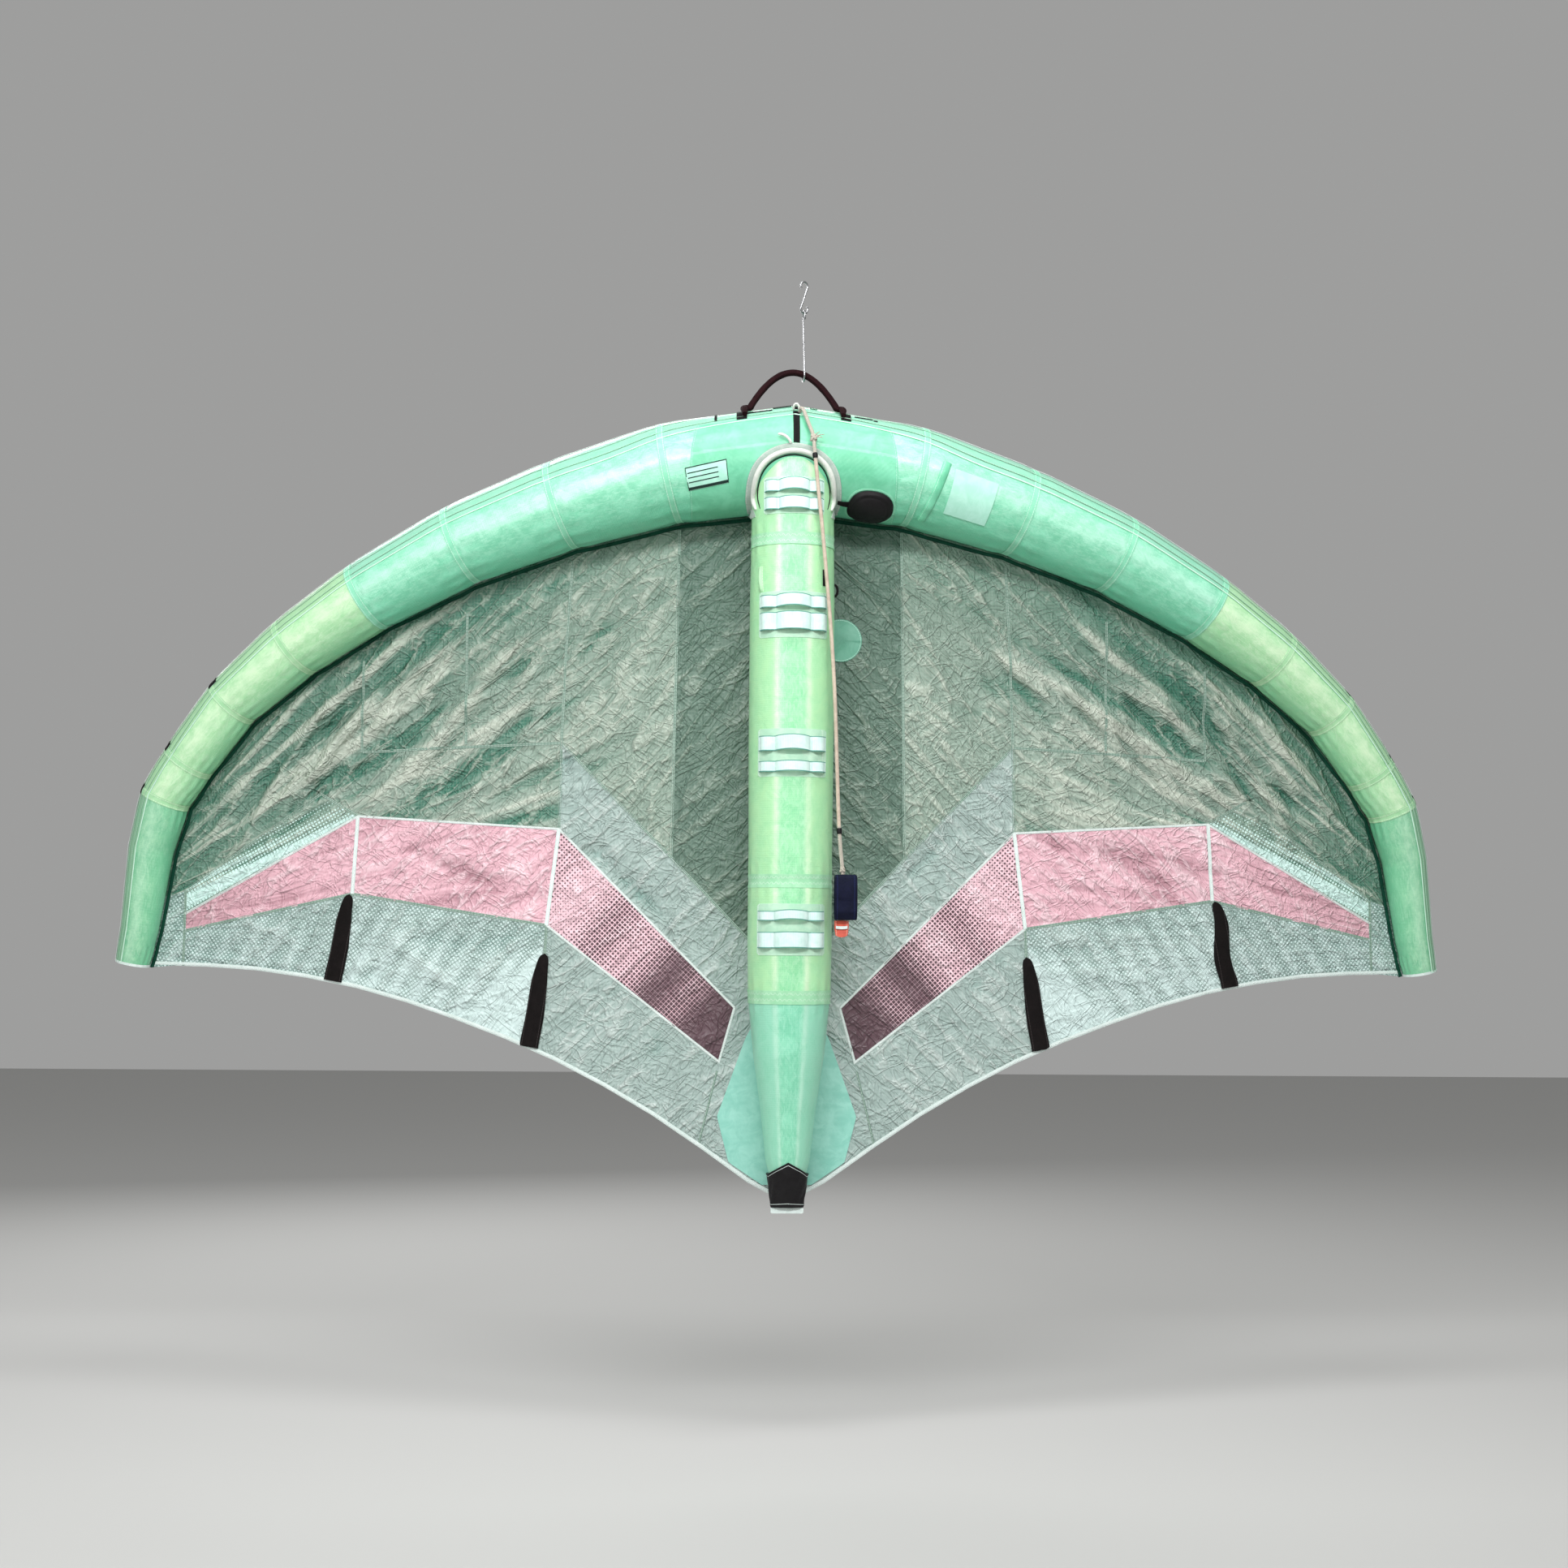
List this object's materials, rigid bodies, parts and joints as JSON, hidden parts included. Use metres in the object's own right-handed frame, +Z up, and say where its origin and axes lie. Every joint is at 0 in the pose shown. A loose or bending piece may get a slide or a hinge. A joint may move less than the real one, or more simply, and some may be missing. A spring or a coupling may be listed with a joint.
{
  "type": "wingfoil wing on hanging hooks",
  "caption": "Hand-held inflatable wing with a bowed leading edge, a centre strut with webbing loops, a panelled cloth canopy and a wrist leash, hung by its nose handle from two small S-hooks.",
  "frame": {"origin": "Inside top of the upper S-hook, where a rail or line carries the whole wing", "axes": "X along the wing's span, tip to tip; Y through its depth, with the strut side facing -Y; Z up, the wing hanging below"},
  "size_m": [2.9714, 0.5266, 1.9737],
  "materials": {
    "tube_mint": "ripstop polyester, satin",
    "tube_lime": "ripstop polyester, satin",
    "canopy_green": "thin ripstop sailcloth",
    "canopy_pale": "thin ripstop sailcloth",
    "canopy_mesh": "dot-printed sailcloth",
    "band_pink": "thin ripstop sailcloth",
    "band_dotted": "dot-printed sailcloth",
    "batten_black": "woven pocket, matte",
    "webbing_pale": "flat webbing",
    "collar_grey": "bound sailcloth",
    "handle_maroon": "padded webbing",
    "hook_steel": "bright wire",
    "leash_beige": "covered cord",
    "cuff_navy": "padded strap",
    "tab_red": "woven tab",
    "rubber_black": "matte"
  },
  "bodies": {
    "root": {"leading_edge_nose": "tube_mint", "leading_edge_left_1": "tube_mint", "leading_edge_left_2": "tube_mint", "leading_edge_left_3": "tube_mint", "leading_edge_left_4": "tube_lime", "leading_edge_left_5": "tube_lime", "leading_edge_left_6": "tube_lime", "leading_edge_left_7": "tube_lime", "leading_edge_left_8": "tube_lime", "leading_edge_right_1": "tube_mint", "leading_edge_right_2": "tube_mint", "leading_edge_right_3": "tube_mint", "leading_edge_right_4": "tube_lime", "leading_edge_right_5": "tube_lime", "leading_edge_right_6": "tube_lime", "leading_edge_right_7": "tube_lime", "leading_edge_right_8": "tube_lime", "strut_top": "tube_lime", "strut_upper": "tube_lime", "strut_lower": "tube_lime", "strut_tail": "tube_lime", "strut_collar": "collar_grey", "canopy_centre": "canopy_green", "canopy_chevron": "canopy_pale", "trailing_centre": "canopy_pale", "canopy_inner_left": "canopy_green", "canopy_outer_left": "canopy_green", "canopy_tip_mesh_left": "canopy_mesh", "band_outer_left": "band_pink", "band_middle_left": "band_pink", "band_dotted_left": "band_dotted", "trailing_outer_left": "canopy_pale", "trailing_middle_left": "canopy_mesh", "batten_outer_left": "batten_black", "batten_inner_left": "batten_black", "canopy_inner_right": "canopy_green", "canopy_outer_right": "canopy_green", "canopy_tip_mesh_right": "canopy_mesh", "band_outer_right": "band_pink", "band_middle_right": "band_pink", "band_dotted_right": "band_dotted", "trailing_outer_right": "canopy_pale", "trailing_middle_right": "canopy_mesh", "batten_outer_right": "batten_black", "batten_inner_right": "batten_black", "strut_loops_1": "webbing_pale", "strut_loops_2": "webbing_pale", "strut_loops_3": "webbing_pale", "strut_loops_4": "webbing_pale", "nose_handle": "handle_maroon", "hook_upper": "hook_steel", "hook_lower": "hook_steel", "leash_line": "leash_beige", "leash_cuff": "cuff_navy", "leash_tab": "tab_red", "valve_flap": "rubber_black", "tail_cap": "rubber_black", "tail_strap": "webbing_pale"}
  },
  "joints": []
}
